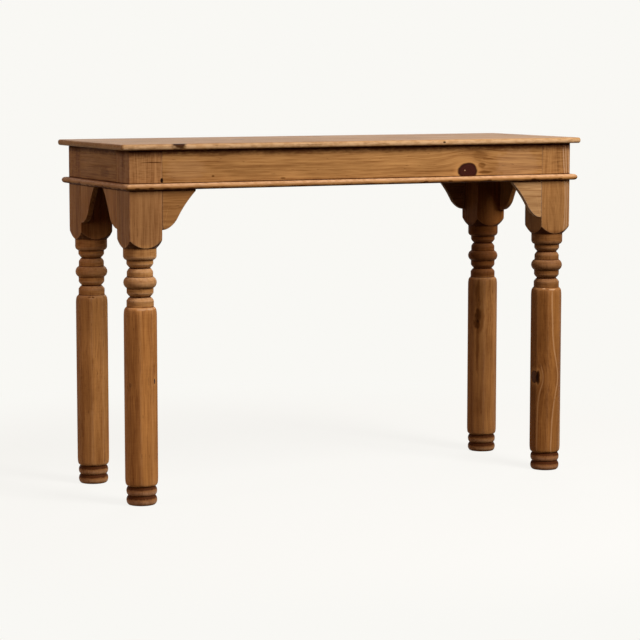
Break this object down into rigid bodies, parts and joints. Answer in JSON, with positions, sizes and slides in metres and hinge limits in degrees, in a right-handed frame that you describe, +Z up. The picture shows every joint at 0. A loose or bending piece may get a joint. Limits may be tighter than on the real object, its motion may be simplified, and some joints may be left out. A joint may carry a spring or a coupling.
{
  "type": "sofa table",
  "caption": "Long narrow wooden side table with turned legs, shaped brackets, a half-round bead round its frame and a planked top, to stand behind a sofa or against a wall.",
  "frame": {"origin": "on the floor under the middle of the top", "axes": "+X along the table, +Y from the front to the back, +Z up"},
  "size_m": [1.149, 0.406, 0.787],
  "materials": {
    "leg_pine": "waxed, brown stain, dark wax in the grooves",
    "rail_pine": "waxed, brown stain, knots",
    "bracket_pine": "waxed, brown stain",
    "bead_pine": "waxed, worn light on its edge",
    "top_pine": "waxed, brown stain, satin sheen",
    "raw_pine": "sawn, unfinished",
    "screw_steel": "zinc plated"
  },
  "bodies": {
    "root": {"leg_front_left": "leg_pine", "leg_front_right": "leg_pine", "leg_back_left": "leg_pine", "leg_back_right": "leg_pine", "rail_front": "rail_pine", "rail_back": "rail_pine", "rail_left": "rail_pine", "rail_right": "rail_pine", "bracket_front_left": "bracket_pine", "bracket_front_right": "bracket_pine", "bracket_back_left": "bracket_pine", "bracket_back_right": "bracket_pine", "bracket_left_front": "bracket_pine", "bracket_left_back": "bracket_pine", "bracket_right_front": "bracket_pine", "bracket_right_back": "bracket_pine", "bead_front": "bead_pine", "bead_back": "bead_pine", "bead_left": "bead_pine", "bead_right": "bead_pine", "top_plank_front": "top_pine", "top_plank_middle": "top_pine", "top_plank_back": "top_pine", "cleat_front": "raw_pine", "cleat_back": "raw_pine", "cleat_left": "raw_pine", "cleat_right": "raw_pine", "bearer_left": "raw_pine", "bearer_right": "raw_pine", "rail_screw_front_1": "screw_steel", "rail_screw_front_2": "screw_steel", "rail_screw_front_3": "screw_steel", "rail_screw_front_4": "screw_steel", "rail_screw_back_1": "screw_steel", "rail_screw_back_2": "screw_steel", "rail_screw_back_3": "screw_steel", "rail_screw_back_4": "screw_steel", "rail_screw_left_1": "screw_steel", "rail_screw_left_2": "screw_steel", "rail_screw_right_1": "screw_steel", "rail_screw_right_2": "screw_steel", "top_screw_front_1": "screw_steel", "top_screw_front_2": "screw_steel", "top_screw_front_3": "screw_steel", "top_screw_back_1": "screw_steel", "top_screw_back_2": "screw_steel", "top_screw_back_3": "screw_steel", "top_screw_left_1": "screw_steel", "top_screw_right_1": "screw_steel", "top_screw_bearer_left_1": "screw_steel", "top_screw_bearer_right_1": "screw_steel"}
  },
  "joints": []
}
